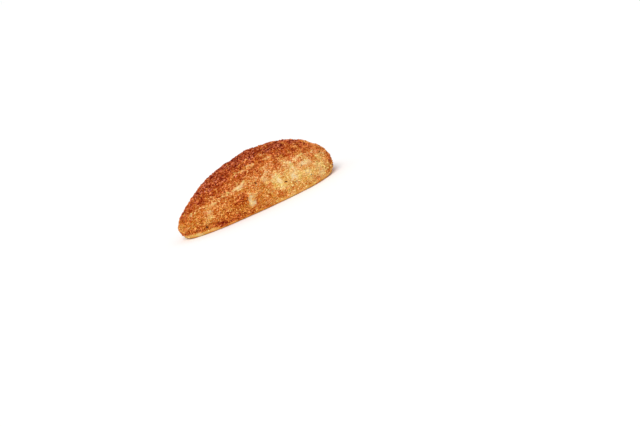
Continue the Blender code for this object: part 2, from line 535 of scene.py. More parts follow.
    def wrinkles(self, points: Array, normals: Array) -> Array:
        """How far a thin wrinkle rises at each point.

        Args:
            points: places on the crust, one a row.
            normals: the smooth bread's normals there.

        Returns:
            From 0, none, to 1, one for each point.
        """
        lines = ramp(np.abs(self.wrinkle_lines.at(points)), self.wrinkle_width, 0.0)
        unbroken = ramp(self.wrinkle_breaks.at(points), *self.unbroken_run)
        return lines * unbroken * ramp(normals[:, 2], *self.wrinkle_facing)

    def ridges(self, points: Array) -> Array:
        """Return from 0, in the dips, to 1, on the short wiggly ridges of clumped crumbs."""
        return ramp(np.abs(self.ridge_lines.at(points)), self.ridge_width, 0.0)

    def smoothness(self, points: Array) -> Array:
        """Find the strip along the foot where no crumbs stick.

        Args:
            points: places on the crust, one a row.

        Returns:
            1 in the strip and 0 above it, one for each point.
        """
        line = self.smooth_line + self.smooth_wander.at(points) + self.smooth_ragged.at(points)
        line = line + self.smooth_extra * ramp(points[:, 0], *self.smooth_narrow)
        line = line + self.smooth_broad * ramp(points[:, 0], *self.broad_run)
        return ramp(points[:, 2] - line, self.smooth_fade, -self.smooth_fade)


@dataclass
class Skin:
    """A surface that crumbs can lie on, as arrays with one row a vertex and one a triangle."""

    points: Array
    normals: Array
    triangles: Array
    browning: Array
    bareness: Array
    hold: Array

    def areas(self) -> Array:
        """Return the area of each triangle."""
        first, second, third = (self.points[self.triangles[:, corner]] for corner in range(3))
        return 0.5 * np.linalg.norm(np.cross(second - first, third - first), axis=1)

    def sample(self, rng: np.random.Generator, count: int) -> dict[str, Array]:
        """Pick places spread evenly over the surface.

        Args:
            rng: the source of chance.
            count: how many places.

        Returns:
            Arrays named place, normal, browning, bareness and hold, one row a place.
        """
        areas = self.areas()
        picked = self.triangles[rng.choice(len(areas), size=count, p=areas / areas.sum())]
        root = np.sqrt(rng.random(count))
        side = rng.random(count)
        weights = np.stack((1.0 - root, root * (1.0 - side), root * side), axis=1)
        return {
            "place": np.einsum("nc,nck->nk", weights, self.points[picked]),
            "normal": unit(np.einsum("nc,nck->nk", weights, self.normals[picked])),
            "browning": np.einsum("nc,nc->n", weights, self.browning[picked]),
            "bareness": np.einsum("nc,nc->n", weights, self.bareness[picked]),
            "hold": np.einsum("nc,nc->n", weights, self.hold[picked]),
        }


def object_from_arrays(name: str, points: Array, triangles: Array) -> Object:
    """Make a linked mesh object.

    Args:
        name: the piece's name.
        points: its vertices, one a row.
        triangles: its faces, three vertex numbers a row.

    Returns:
        The object, smooth shaded.
    """
    mesh = bpy.data.meshes.new(name)
    mesh.vertices.add(len(points))
    mesh.vertices.foreach_set("co", points.astype(np.float32).ravel())
    mesh.loops.add(triangles.size)
    mesh.loops.foreach_set("vertex_index", triangles.astype(np.int32).ravel())
    mesh.polygons.add(len(triangles))
    mesh.polygons.foreach_set("loop_start", np.arange(0, triangles.size, 3, dtype=np.int32))
    mesh.update(calc_edges=True)
    mesh.validate()
    mesh.shade_smooth()
    return linked(name, mesh)


def set_toast(mesh: Mesh, browning: Array, bareness: Array, tone: Array) -> None:
    """Store what the finishes read at each vertex.

    Args:
        mesh: the mesh to write to.
        browning: from 0, pale, to 1, dark brown.
        bareness: from 0, under crumbs, to 1, bare dough.
        tone: from 0 to 1, a crumb's own shade.
    """
    layer = mesh.attributes.new(TOAST, "FLOAT_COLOR", "POINT")
    values = np.stack((browning, bareness, tone, np.ones(len(browning))), axis=1)
    layer.data.foreach_set("color", values.astype(np.float32).ravel())


@dataclass
class Crust:
    """The bread itself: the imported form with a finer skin, a smooth foot and a flat underside."""

    form: BreadForm
    baking: Baking
    cells: tuple[int, int, int] = (240, 120, 84)
    low_share: float = 0.24
    level_band: float = 0.004
    foot_radius: float = 0.0013
    grit_spacing: float = 0.0015
    grit_seed: float = 2.2
    grit_middle: float = 0.55
    grit_height: float = 0.00042
    clump_height: float = 0.00050
    ridge_height: float = 0.00040
    wrinkle_share: float = 0.7
    patch_depth: float = 0.00035
    patch_smoother: float = 0.75
    foot_smoother: float = 0.9
    patch_free: float = 0.90
    foot_free: float = 0.95
    # How much browner the crust shows between the crumbs, partly browning and partly painted shade in the
    # gaps; the crust's low tone keeps that painted shade dark
    gap_browning_and_shade: float = 0.25
    tone: float = 0.36
    map_radius: float = 0.49
    base_map: Place = (0.068, 0.068, 0.062)

    def cage(self) -> tuple[Mesh, Array]:
        """Make the grid that becomes the bread: a cube with even cells, its lower face one polygon.

        Returns:
            The mesh, and its vertices' places on the cube, from -1 to 1.
        """
        bm = bmesh.new()
        bmesh.ops.create_cube(bm, size=CUBE_SIDE)
        for axis, cells in enumerate(self.cells):
            spans = [(edge, edge.verts[1].co - edge.verts[0].co) for edge in bm.edges]
            whole = [edge for edge, span in spans if abs(span[axis]) > 0.5 * CUBE_SIDE]
            bmesh.ops.subdivide_edges(bm, edges=whole, cuts=cells - 1, use_grid_fill=True)
        low = [vert for vert in bm.verts if vert.co.z < -CUBE_EDGE]
        under = [vert for vert in low if max(abs(vert.co.x), abs(vert.co.y)) < CUBE_EDGE]
        bmesh.ops.delete(bm, geom=under, context="VERTS")
        foot = [edge for edge in bm.edges if edge.is_boundary]
        base = bmesh.ops.contextual_create(bm, geom=foot)["faces"][0]
        base.material_index = 1
        bmesh.ops.recalc_face_normals(bm, faces=bm.faces[:])
        mesh = bpy.data.meshes.new("bread_crust")
        bm.to_mesh(mesh)
        bm.free()
        cube = np.empty(len(mesh.vertices) * 3, np.float32)
        mesh.vertices.foreach_get("co", cube)
        return mesh, cube.reshape(-1, 3).astype(float)

    def directions(self, cube: Array) -> Array:
        """Turn places on the cube into directions that end at the foot line.

        Args:
            cube: places on the cube, from -1 to 1 on each axis.

        Returns:
            Unit vectors, one a row.
        """
        flat = np.tan(cube[:, :2] * math.pi / 4)
        edge = flat / np.maximum(np.abs(flat).max(axis=1, keepdims=True), TINY)
        edge_lift = np.arctan(1.0 / np.maximum(np.linalg.norm(edge, axis=1), TINY))
        top_lift = np.arctan2(1.0, np.maximum(np.linalg.norm(flat, axis=1), TINY))
        share = 0.5 * (cube[:, 2] + 1.0)
        foot_lift = math.asin(self.form.foot_rise())
        side_lift = np.where(
            share < self.low_share,
            foot_lift * (1.0 - share / self.low_share),
            edge_lift * (share - self.low_share) / (1.0 - self.low_share),
        )
        lift = np.where(cube[:, 2] > CUBE_EDGE, top_lift, side_lift)
        bearing = np.arctan2(flat[:, 1], flat[:, 0])
        return np.stack(
            (np.cos(bearing) * np.cos(lift), np.sin(bearing) * np.cos(lift), np.sin(lift)), axis=1
        )

    def detail(self, points: Array, bare: Array, ridge: Array, smooth: Array) -> Array:
        """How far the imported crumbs, wrinkles and bare patches shift the crust.

        Args:
            points: places on the crust.
            bare: bareness there.
            ridge: how far streaks and wrinkles rise there.
            smooth: smoothness there.

        Returns:
            Metres outwards, one for each place.
        """
        rough = (1.0 - self.patch_smoother * bare) * (1.0 - self.foot_smoother * smooth)
        rows = (points / self.grit_spacing + self.grit_seed).tolist()
        cells = np.array([noise.voronoi(row)[0][0] for row in rows])
        grit = (self.grit_middle - cells) * self.grit_height
        clumps = (self.baking.ridges(points) - 0.5) * self.clump_height
        return rough * (grit + clumps) + ridge * self.ridge_height - bare * self.patch_depth

    def levelled(self, points: Array, smooth_points: Array, normals: Array) -> Array:
        """Bring the foot of the crust down to an even, rounded edge.

        Args:
            points: places on the crust.
            smooth_points: the smooth bread's points there.
            normals: the smooth bread's normals there.

        Returns:
            The places after that.
        """
        height = smooth_points[:, 2]
        level = ramp(height, 0.0, self.level_band)
        points[:, 2] = height + (points[:, 2] - height) * level
        low = np.clip(self.foot_radius - height, 0.0, self.foot_radius)
        inset = self.foot_radius - np.sqrt(self.foot_radius**2 - low**2)
        sideways = unit(normals * np.array((1.0, 1.0, 0.0)))
        return points - sideways * inset[:, None]

    def build(self) -> tuple[Object, Skin]:
        """Make the crust.

        Returns:
            The object, and the skin that crumbs can lie on.
        """
        mesh, cube = self.cage()
        directions = self.directions(cube)
        points, smooth_points, normals = self.form.crust(directions)
        browning = self.baking.browning(points, normals)
        bare = self.baking.bareness(points)
        wrinkles = self.wrinkle_share * self.baking.wrinkles(points, normals)
        ridge = np.maximum(self.baking.streaked(points), wrinkles)
        smooth = self.baking.smoothness(points)
        points = points + normals * self.detail(points, bare, ridge, smooth)[:, None]
        points = self.levelled(points, smooth_points, normals)
        points[cube[:, 2] < -CUBE_EDGE, 2] = 0.0
        mesh.vertices.foreach_set("co", points.astype(np.float32).ravel())
        mesh.update()
        # Between the crumbs the crust is painted browner: partly browning, partly painted shade in the
        # gaps
        gaps = np.clip(browning + self.gap_browning_and_shade * (1.0 - smooth), 0.0, 1.0)
        set_toast(mesh, gaps, bare, np.full(len(points), self.tone))
        self.lay_map(mesh, directions)
        mesh.shade_smooth()
        hold = (1.0 - self.patch_free * bare) * (1.0 - self.foot_free * smooth)
        return linked(mesh.name, mesh), self.skin(mesh, points, browning, bare, hold)

    def lay_map(self, mesh: Mesh, directions: Array) -> None:
        """Lay the crust out flat, as seen from above, with the underside in a free corner.

        Args:
            mesh: the crust's mesh.
            directions: the direction of each vertex.
        """
        lift = np.arcsin(np.clip(directions[:, 2], -1.0, 1.0))
        reach = (math.pi / 2 - lift) / (math.pi / 2 - math.asin(self.form.foot_rise()))
        heading = unit(directions[:, :2])
        flat = 0.5 + self.map_radius * reach[:, None] * heading
        corner = np.empty(len(mesh.loops), np.int32)
        mesh.loops.foreach_get("vertex_index", corner)
        laid = flat[corner]
        base = max(mesh.polygons, key=lambda face: face.loop_total)
        span = slice(base.loop_start, base.loop_start + base.loop_total)
        middle_u, middle_v, radius = self.base_map
        laid[span] = np.array((middle_u, middle_v)) + radius * heading[corner[span]]
        layer = mesh.uv_layers.new(name=BAKE_MAP)
        layer.uv.foreach_set("vector", laid.astype(np.float32).ravel())

    def skin(self, mesh: Mesh, points: Array, *values: Array) -> Skin:
        """Take the crust above its flat underside as a skin for crumbs.

        Args:
            mesh: the crust's mesh.
            points: its vertices.
            values: its browning, bareness and hold.

        Returns:
            The skin.
        """
        mesh.calc_loop_triangles()
        triangles = np.empty(len(mesh.loop_triangles) * 3, np.int32)
        mesh.loop_triangles.foreach_get("vertices", triangles)
        triangles = triangles.reshape(-1, 3)
        triangles = triangles[points[triangles, 2].max(axis=1) > self.foot_radius]
        normals = np.empty(len(mesh.vertices) * 3, np.float32)
        mesh.vertex_normals.foreach_get("vector", normals)
        return Skin(points, normals.reshape(-1, 3).astype(float), triangles, *values)


@dataclass
class CoarseCrumbs:
    """The largest crumbs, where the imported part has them, with a rougher surface."""

    form: BreadForm
    baking: Baking
    seed: int = 11
    tries: int = 3000
    gap: float = 0.0063
    small: float = 0.0009
    large: float = 0.0017
    lowest: float = 0.012
    sunk: float = 0.2
    jitter: float = 0.2
    tilt: float = 0.4
    lengths: Span = (0.9, 1.3)
    widths: Span = (0.7, 1.0)
    heights: Span = (0.55, 0.9)
    rounding: float = 0.6
    pit_spacing: float = 0.0009
    pit_depth: float = 0.10
    shade: float = 0.05
    hold: float = 0.75

    def __post_init__(self) -> None:
        """Start the source of chance; its draws come in the part's own order."""
        self.rng = random.Random(self.seed)

    def spots(self) -> tuple[Array, Array]:
        """Find where the largest crumbs lie.

        Returns:
            The places on the crust and the smooth bread's normals there.
        """
        gauss = self.rng.gauss
        drawn = [[gauss(0, 1), gauss(0, 1), gauss(0, 1)] for _ in range(self.tries)]
        points, _, normals = self.form.crust(unit(np.array(drawn)))
        kept: list[int] = []
        for index, point in enumerate(points):
            if point[2] >= self.lowest and np.all(np.linalg.norm(points[kept] - point, axis=1) > self.gap):
                kept.append(index)
        return points[kept], normals[kept]

    def crumb(self, point: Vector, normal: Vector) -> tuple[Array, Array]:
        """Make one crumb as the part does, then give it a finer surface.

        Args:
            point: where it lies.
            normal: the bread's normal there.

        Returns:
            Its vertices and its triangles.
        """
        rng = self.rng
        size = self.small + (self.large - self.small) * rng.random() ** 2
        shape = Vector([rng.uniform(*span) for span in (self.lengths, self.widths, self.heights)])
        tilt = Euler((rng.gauss(0, self.tilt), rng.gauss(0, self.tilt), rng.uniform(0.0, math.tau)))
        turn = normal.to_track_quat("Z", "Y").to_matrix() @ tilt.to_matrix()
        centre = point - normal * size * self.sunk
        bm = bmesh.new()
        bmesh.ops.create_icosphere(bm, subdivisions=1, radius=size)
        for vert in bm.verts:
            vert.co = turn @ (vert.co * shape * (1.0 + rng.uniform(-self.jitter, self.jitter))) + centre
        bmesh.ops.subdivide_edges(bm, edges=bm.edges[:], cuts=1, smooth=self.rounding, use_grid_fill=True)
        for vert in bm.verts:
            pit = 1.0 + self.pit_depth * noise.noise(vert.co / self.pit_spacing)
            vert.co = centre + (vert.co - centre) * pit
        bmesh.ops.triangulate(bm, faces=bm.faces[:])
        return arrays_from(bm)

    def build(self) -> tuple[Object, Skin]:
        """Make all the coarse crumbs as one piece.

        Returns:
            The object, and the skin that finer crumbs can lie on.
        """
        spots, normals = self.spots()
        made = [self.crumb(Vector(spot), Vector(normal)) for spot, normal in zip(spots, normals)]
        shades = random.Random(self.seed + 1)
        drawn = np.array([(shades.gauss(0.0, self.shade), shades.random()) for _ in made])
        each = len(made[0][0])
        points = np.concatenate([crumb for crumb, _ in made])
        triangles = np.concatenate([faces + each * index for index, (_, faces) in enumerate(made)])
        outward = np.concatenate([unit(crumb - crumb.mean(axis=0)) for crumb, _ in made])
        shade = np.clip(self.baking.browning(spots, normals) + drawn[:, 0], 0.0, 1.0)
        levels = np.repeat(shade, each)
        none = np.zeros(len(levels))
        piece = object_from_arrays("coarse_crumbs", points, triangles)
        set_toast(piece.data, levels, none, np.repeat(drawn[:, 1], each))
        lay_grain_map(piece.data, len(made), len(made[0][1]))
        proud = [(crumb - spot) @ normal for (crumb, _), spot, normal in zip(made, spots, normals)]
        above = np.concatenate(proud)[triangles].min(axis=1) > 0.0
        log.info("%d coarse crumbs, as in the packed part", len(made))
        hold = np.full(len(levels), self.hold)
        return piece, Skin(points, outward, triangles[above], levels, none, hold)


def arrays_from(bm: bmesh.types.BMesh) -> tuple[Array, Array]:
    """Take the arrays of a bmesh and free it.

    Args:
        bm: a bmesh of triangles.

    Returns:
        Its vertices and its triangles.
    """
    bm.verts.index_update()
    points = np.array([vert.co[:] for vert in bm.verts])
    triangles = np.array([[vert.index for vert in face.verts] for face in bm.faces])
    bm.free()
    return points, triangles


def lay_grain_map(mesh: Mesh, grains: int, faces: int) -> None:
    """Give each crumb its own cell of the map, with all its faces over each other there.

    Args:
        mesh: a mesh of equal crumbs, one after another.
        grains: how many crumbs it has.
        faces: how many triangles a crumb has.
    """
    side = math.ceil(math.sqrt(grains))
    number = np.repeat(np.arange(grains), faces)
    low = np.stack((number % side, number // side), axis=1)[:, None, :]
    layer = mesh.uv_layers.new(name=BAKE_MAP)
    layer.uv.foreach_set("vector", ((low + np.array(CELL_CORNERS)) / side).astype(np.float32).ravel())


class CrumbKind(Enum):
    """The kinds of crumb in the coat."""

    TOASTED = "toasted_crumbs"
    GOLDEN = "golden_crumbs"
    PALE = "pale_crumbs"
    FINE = "fine_crumbs"
    CHARRED = "charred_crumbs"


@dataclass(frozen=True)
class GrainSize:
    """One range of half sizes in the coat, and how many crumbs of it fall."""

    low: float
    high: float
    tries: int


@dataclass
class Grains:
    """Crumbs that have their places, one row a crumb."""

    place: Array
    normal: Array
    half: Array
    browning: Array
    tone: Array

    def only(self, chosen: Array) -> Grains:
        """Return the crumbs that are chosen."""
        return Grains(*(getattr(self, field.name)[chosen] for field in fields(self)))

    @classmethod
    def joined(cls, parts: list[Grains]) -> Grains:
        """Return the crumbs of all parts, one part after another."""
        names = [field.name for field in fields(cls)]
        return cls(*(np.concatenate([getattr(part, name) for part in parts]) for name in names))


@dataclass
class CrumbCoat:
    """The coat of crumbs: grains of several sizes packed side by side, each its own shape."""

    seed: int = 20
    sizes: tuple[GrainSize, ...] = (
        GrainSize(0.00072, 0.00100, 2600),
        GrainSize(0.00052, 0.00072, 9000),
        GrainSize(0.00036, 0.00052, 42000),
    )
    fine_size: GrainSize = GrainSize(0.00020, 0.00036, 80000)
    packing: float = 0.68
    shade_spread: float = 0.055
    pale_share: float = 0.08
    pale_step: float = 0.12
    dark_share: float = 0.08
    dark_step: float = 0.12
    crumb_paler: float = 0.09
    patch_paler: float = 0.35
    toasted_from: float = 0.60
    pale_below: float = 0.34
    jitter: float = 0.38
    sharp_angle: float = math.radians(48.0)
    lengths: Span = (1.00, 1.75)
    widths: Span = (0.68, 0.98)
    heights: Span = (0.60, 0.95)
    sunk: Span = (-0.10, 0.36)
    tilt: float = 0.35
    lie_spread: float = 0.75
    speck_half: Span = (0.00035, 0.00065)
    speck_count: int = 46
    burnt_from: float = 0.42

    # Burnt crumbs that show singly: each one's place and half size, in millimetres
    specks: tuple[tuple[float, ...], ...] = (
        (-59.4, -18.8, 6.0, 1.2),
        (-9.8, -31.0, 23.6, 0.8),
        (14.2, -36.1, 14.2, 0.85),
        (33.9, -34.4, 20.0, 0.68),
        (38.3, -36.0, 9.9, 0.62),
        (67.5, -19.9, 6.4, 0.75),
        (62.5, -13.2, 26.9, 0.7),
        (22.0, 34.5, 19.0, 0.9),
        (-35.0, 27.0, 14.0, 0.8),
        (-12.0, 12.0, 43.0, 0.7),
    )

    def __post_init__(self) -> None:
        """Start the source of chance, with no crumb in its cell yet."""
        self.rng = np.random.default_rng(self.seed)
        self.taken: dict[tuple[int, ...], list[tuple[float, ...]]] = {}

    def packed(self, fallen: Grains) -> Grains:
        """Keep the crumbs that find room among those that lie already, the largest first.

        Args:
            fallen: the crumbs, where they would lie.

        Returns:
            The crumbs that are kept.
        """
        # The cells are so large that crumbs which touch lie at most one cell apart
        cell = 2.0 * self.packing * self.sizes[0].high
        steps = list(product((-1, 0, 1), repeat=3))
        keys = np.floor(fallen.place / cell).astype(int).tolist()
        rows = fallen.place.tolist()
        halves = fallen.half.tolist()
        kept = []
        for index in np.argsort(-fallen.half, kind="stable").tolist():
            x, y, z = rows[index]
            column, row, layer = keys[index]
            half = halves[index]
            cells = (self.taken.get((column + on, row + over, layer + up), ()) for on, over, up in steps)
            if all(
                (x - other_x) ** 2 + (y - other_y) ** 2 + (z - other_z) ** 2
                >= (self.packing * (half + other_half)) ** 2
                for near in cells
                for other_x, other_y, other_z, other_half in near
            ):
                self.taken.setdefault((column, row, layer), []).append((x, y, z, half))
                kept.append(index)
        return fallen.only(np.array(kept))

    def scatter(self, skins: tuple[Skin, ...], sizes: tuple[GrainSize, ...]) -> Grains:
        """Let crumbs fall on the skins and keep those that find room.

        Args:
            skins: the surfaces that they fall on.
            sizes: the ranges of sizes, the largest first.

        Returns:
            The crumbs that stay.
        """
        areas = [skin.areas().sum() for skin in skins]
        parts = []
        for size in sizes:
            for skin, area in zip(skins, areas):
                tries = int(size.tries * area / sum(areas))
                found = skin.sample(self.rng, tries)
                stuck = self.rng.random(tries) < found["hold"]
                halves = self.rng.uniform(size.low, size.high, tries)
                level = self.levels(found["browning"] - self.patch_paler * found["bareness"])
                tone = self.rng.random(tries)
                fallen = Grains(found["place"], found["normal"], halves, level, tone)
                parts.append(self.packed(fallen.only(stuck)))
        return Grains.joined(parts)

    def levels(self, browning: Array) -> Array:
        """Give each crumb its own browning round that of its place.

        Args:
            browning: the browning of each place.

        Returns:
            The browning of each crumb.
        """
        level = browning - self.crumb_paler + self.rng.normal(0.0, self.shade_spread, len(browning))
        chance = self.rng.random(len(browning))
        level = level - self.pale_step * (chance < self.pale_share)
        level = level + self.dark_step * (chance > 1.0 - self.dark_share)
        return np.clip(level, 0.0, 1.0)

    def template(self, kind: CrumbKind) -> tuple[Array, Array]:
        """Make the form that each crumb of a kind starts from.

        Args:
            kind: the kind of crumb.

        Returns:
            Its vertices and its triangles.
        """
        bm = bmesh.new()
        if kind is CrumbKind.FINE:
            bmesh.ops.create_uvsphere(bm, u_segments=4, v_segments=2, radius=1.0)
        else:
            bmesh.ops.create_icosphere(bm, subdivisions=1, radius=1.0)
        bmesh.ops.recalc_face_normals(bm, faces=bm.faces[:])
        return arrays_from(bm)

    def shapes(self, grains: Grains, template: Array) -> Array:
        """Shape, turn and place every crumb.

        Args:
            grains: the crumbs.
            template: the vertices that each starts from.

        Returns:
            All vertices, crumb after crumb.
        """
        rng = self.rng
        count = len(grains.half)
        reach = 1.0 + rng.uniform(-self.jitter, self.jitter, (count, len(template), 1))
        spans = (self.lengths, self.widths, self.heights)
        stretch = np.stack([rng.uniform(*span, count) for span in spans], axis=1)
        shapes = template[None] * reach * (stretch * grains.half[:, None])[:, None, :]
        up = unit(grains.normal + rng.normal(0.0, self.tilt, (count, 3)))
        along = unit(np.array((1.0, 0.0, 0.0)) - up * up[:, :1])
        aside = np.cross(up, along)
        spin = rng.normal(0.0, self.lie_spread, count)[:, None]
        first = along * np.cos(spin) + aside * np.sin(spin)
        second = np.cross(up, first)
        frames = np.stack((first, second, up), axis=2)
        depth = rng.uniform(*self.sunk, count) * stretch[:, 2] * grains.half
        centres = grains.place - grains.normal * depth[:, None]
        return (np.einsum("nij,nvj->nvi", frames, shapes) + centres[:, None, :]).reshape(-1, 3)

    def piece(self, kind: CrumbKind, grains: Grains) -> Object:
        """Make all the crumbs of one kind as one piece.

        Args:
            kind: the kind of crumb.
            grains: its crumbs.

        Returns:
            The object.
        """
        template, faces = self.template(kind)
        count = len(grains.half)
        each = len(template)
        points = self.shapes(grains, template)
        triangles = (faces[None] + np.arange(count)[:, None, None] * each).reshape(-1, 3)
        piece = object_from_arrays(kind.value, points, triangles)
        piece.data.set_sharp_from_angle(angle=self.sharp_angle)
        levels = np.repeat(grains.browning, each)
        set_toast(piece.data, levels, np.zeros(len(levels)), np.repeat(grains.tone, each))
        lay_grain_map(piece.data, count, len(faces))
        log.info("%s: %d crumbs", kind.value, count)
        return piece

    def charred(self, skin: Skin) -> Grains:
        """Place the few charred specks: the listed ones, and some at random where it is brown.

        Args:
            skin: the surface that they lie on.

        Returns:
            The specks.
        """
        found = skin.sample(self.rng, self.speck_count)
        listed = np.array([from_mm(*speck) for speck in self.specks])
        near = [int(np.argmin(np.linalg.norm(skin.points - spot, axis=1))) for spot in listed[:, :3]]
        place = np.concatenate((skin.points[near], found["place"]))
        normal = np.concatenate((skin.normals[near], found["normal"]))
        count = len(place)
        half = self.rng.uniform(*self.speck_half, count)
        half[: len(near)] = listed[:, 3]
        burnt = np.concatenate((np.ones(len(near), bool), found["browning"] > self.burnt_from))
        return Grains(place, normal, half, np.ones(count), self.rng.random(count)).only(burnt)

    def build(self, crust: Skin, coarse: Skin) -> dict[CrumbKind, Object]:
        """Make the whole coat.

        Args:
            crust: the bread's skin.
            coarse: the skin of the coarse crumbs.

        Returns:
            One piece for each kind.
        """
        charred = self.charred(crust)
        self.packed(charred)
        coat = self.scatter((crust, coarse), self.sizes)
        fine = self.scatter((crust, coarse), (self.fine_size,))
        toasted = coat.browning >= self.toasted_from
        pale = coat.browning < self.pale_below
        shares = {
            CrumbKind.TOASTED: coat.only(toasted),
            CrumbKind.GOLDEN: coat.only(~toasted & ~pale),
            CrumbKind.PALE: coat.only(pale),
            CrumbKind.FINE: fine,
            CrumbKind.CHARRED: charred,
        }
        return {kind: self.piece(kind, grains) for kind, grains in shares.items()}


class NodeBench:
    """A node tree with short calls to add nodes and join them."""

    def __init__(self, tree: NodeTree) -> None:
        """Take the tree to work on."""
        self.tree = tree

    def node(self, kind: str, **values: object) -> bpy.types.Node:
        """Add a node.

        Args:
            kind: its Blender type.
            values: its properties, by name.

        Returns:
            The node.
        """
        node = self.tree.nodes.new(kind)
        for name, value in values.items():
            setattr(node, name, value)
        return node

    def join(self, source: object, target: Socket) -> None:
        """Link an output to an input, or set the input's value.

        Args:
            source: an output, a value, or None to leave the input as it is.
            target: the input.
        """
        if isinstance(source, Socket):
            self.tree.links.new(source, target)
        elif source is not None:
            target.default_value = source

    def maths(self, operation: str, first: object, second: object = None, clamp: bool = False) -> Socket:
        """Add a math node.

        Args:
            operation: what it does.
            first: a number or an output.
            second: a number or an output, if it needs one.
            clamp: True to keep the result from 0 to 1.

        Returns:
            Its output.
        """
        node = self.node("ShaderNodeMath", operation=operation, use_clamp=clamp)
        self.join(first, node.inputs[0])
        self.join(second, node.inputs[1])
        return node.outputs["Value"]

    def place(self) -> Socket:
        """Return the place on the object, in metres."""
        return self.node("ShaderNodeTexCoord").outputs["Object"]

    def noise(self, place: Socket, scale: float, detail: float) -> Socket:
        """Add a noise texture.

        Args:
            place: where it is read.
            scale: its cells a metre.
            detail: how many finer steps it has.

        Returns:
            Its value output.
        """
        node = self.node("ShaderNodeTexNoise")
        self.join(place, node.inputs["Vector"])
        self.join(scale, node.inputs["Scale"])
        self.join(detail, node.inputs["Detail"])
        return node.outputs["Fac"]

    def mix(self, share: object, first: object, second: object, blend: str = "MIX") -> Socket:
        """Mix two colours.

        Args:
            share: from 0, all first, to 1, all second; a number or an output.
            first: a colour or an output.
            second: a colour or an output.
            blend: how they mix.

        Returns:
            The mixed colour's output.
        """
        node = self.node("ShaderNodeMix", data_type="RGBA", blend_type=blend)
        for source, number in zip((share, first, second), MIX_INPUTS):
            self.join(source, node.inputs[number])
        return node.outputs[MIX_OUTPUT]


class GroupBench(NodeBench):
    """A new node group that other materials share."""

    def __init__(self, name: str, given: tuple[str, ...], result: str, kind: str) -> None:
        """Make the group.

        Args:
            name: its name.
            given: its number inputs.
            result: its output.
            kind: the output's socket type.
        """
        super().__init__(bpy.data.node_groups.new(name, "ShaderNodeTree"))
        for socket in given:
            self.tree.interface.new_socket(socket, in_out="INPUT", socket_type="NodeSocketFloat")
        self.tree.interface.new_socket(result, in_out="OUTPUT", socket_type=kind)
        self.given = self.node("NodeGroupInput").outputs
        self.result = self.node("NodeGroupOutput").inputs[result]


class FinishBench(NodeBench):
    """A new material and its shader."""

    def __init__(self, name: str, roughness: float, specular: float) -> None:
        """Make the material and set its shader's plain values.

        Args:
            name: its name.
            roughness: its roughness.
            specular: its specular level.
        """
        self.material = bpy.data.materials.new(name)
        self.material.use_nodes = True
        super().__init__(self.material.node_tree)
        self.shader = self.tree.nodes["Principled BSDF"].inputs
        self.join(roughness, self.shader["Roughness"])
        self.join(specular, self.shader["Specular IOR Level"])

    def group(self, tree: NodeTree, **sources: object) -> Socket:
        """Place a shared group.

        Args:
            tree: the group.
            sources: a number or an output for each of its inputs, by name.

        Returns:
            Its output.
        """
        node = self.node("ShaderNodeGroup", node_tree=tree)
        for name, source in sources.items():
            self.join(source, node.inputs[name])
        return node.outputs[0]

    def bump(self, height: Socket, depth: float) -> None:
        """Let a height tilt the shader's normals.

        Args:
            height: the height, from 0 to 1.
            depth: how deep that is, in metres.
        """
        node = self.node("ShaderNodeBump")
        self.join(depth, node.inputs["Distance"])
        self.join(height, node.inputs["Height"])
        self.join(node.outputs["Normal"], self.shader["Normal"])


